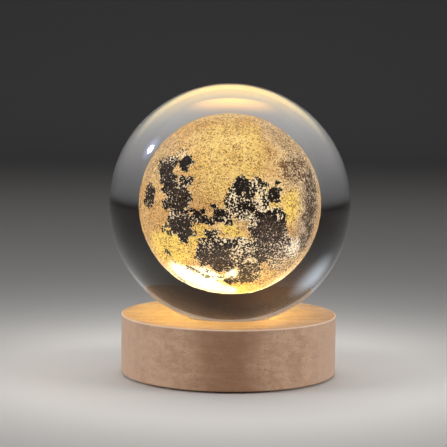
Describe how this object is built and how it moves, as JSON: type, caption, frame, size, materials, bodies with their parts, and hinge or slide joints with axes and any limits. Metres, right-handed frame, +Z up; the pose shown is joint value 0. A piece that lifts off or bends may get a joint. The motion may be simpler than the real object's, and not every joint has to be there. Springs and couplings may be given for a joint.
{
  "type": "moon lamp",
  "caption": "Clear glass ball with a moon engraved inside, seated on a round wooden base that lights it from below; the ball turns and lifts off, with a power socket and button at the back.",
  "frame": {"origin": "on the ball's axis, on the surface that the lamp stands on", "axes": "+Z up along the ball's axis; -Y towards the lamp's front; +Y towards the power socket and button at the back"},
  "size_m": [0.08, 0.08, 0.0966],
  "materials": {
    "clear_glass": "polished",
    "engraved_glass": "frosted, lit warm from below",
    "clear_silicone": "translucent, smooth",
    "beech_wood": "fine-sanded, bare",
    "window_acrylic": "lightly frosted",
    "white_plastic": "glossy",
    "white_board": "satin",
    "light_housing": "matte",
    "phosphor": "matte, glowing warm white",
    "screw_steel": "bright",
    "green_board": "satin",
    "chip_black": "matte",
    "resistor_black": "matte",
    "capacitor_tan": "matte",
    "socket_steel": "bright",
    "socket_black": "matte",
    "switch_black": "matte",
    "plunger_cream": "matte",
    "button_black": "satin",
    "connector_cream": "matte",
    "lead_red": "satin",
    "lead_black": "satin",
    "cover_black": "fine texture",
    "foot_rubber": "matte"
  },
  "bodies": {
    "base": {"wood_base": "beech_wood", "light_window": "window_acrylic", "reflector_cup": "white_plastic", "led_board": "white_board", "led_packages": "light_housing", "led_phosphor": "phosphor", "led_board_screws": "screw_steel", "control_board": "green_board", "control_chip": "chip_black", "board_resistors": "resistor_black", "board_capacitors": "capacitor_tan", "usb_socket_shell": "socket_steel", "usb_socket_tongue": "socket_black", "switch_body": "switch_black", "lead_header": "connector_cream", "lead_plug": "connector_cream", "lead_red": "lead_red", "lead_black": "lead_black", "board_screws": "screw_steel", "bottom_cover": "cover_black", "cover_screws": "screw_steel", "rubber_feet": "foot_rubber"},
    "seat": {"seat_ring": "clear_silicone"},
    "ball": {"crystal_ball": "clear_glass", "moon_engraving": "engraved_glass"},
    "button": {"button_cap": "button_black", "switch_plunger": "plunger_cream"}
  },
  "joints": [
    {"name": "ball_turn", "type": "hinge", "parent": "base", "child": "seat", "pos_m": [0, 0, 0.0171], "axis": [0, 0, 1], "continuous": true},
    {"name": "ball_lift", "type": "slide", "parent": "seat", "child": "ball", "axis": [0, 0, 1], "range_m": [0, 0.05]},
    {"name": "button_press", "type": "slide", "parent": "base", "child": "button", "axis": [0, -1, 0], "range_m": [0, 0.001], "stiffness_N_per_m": 1500}
  ]
}
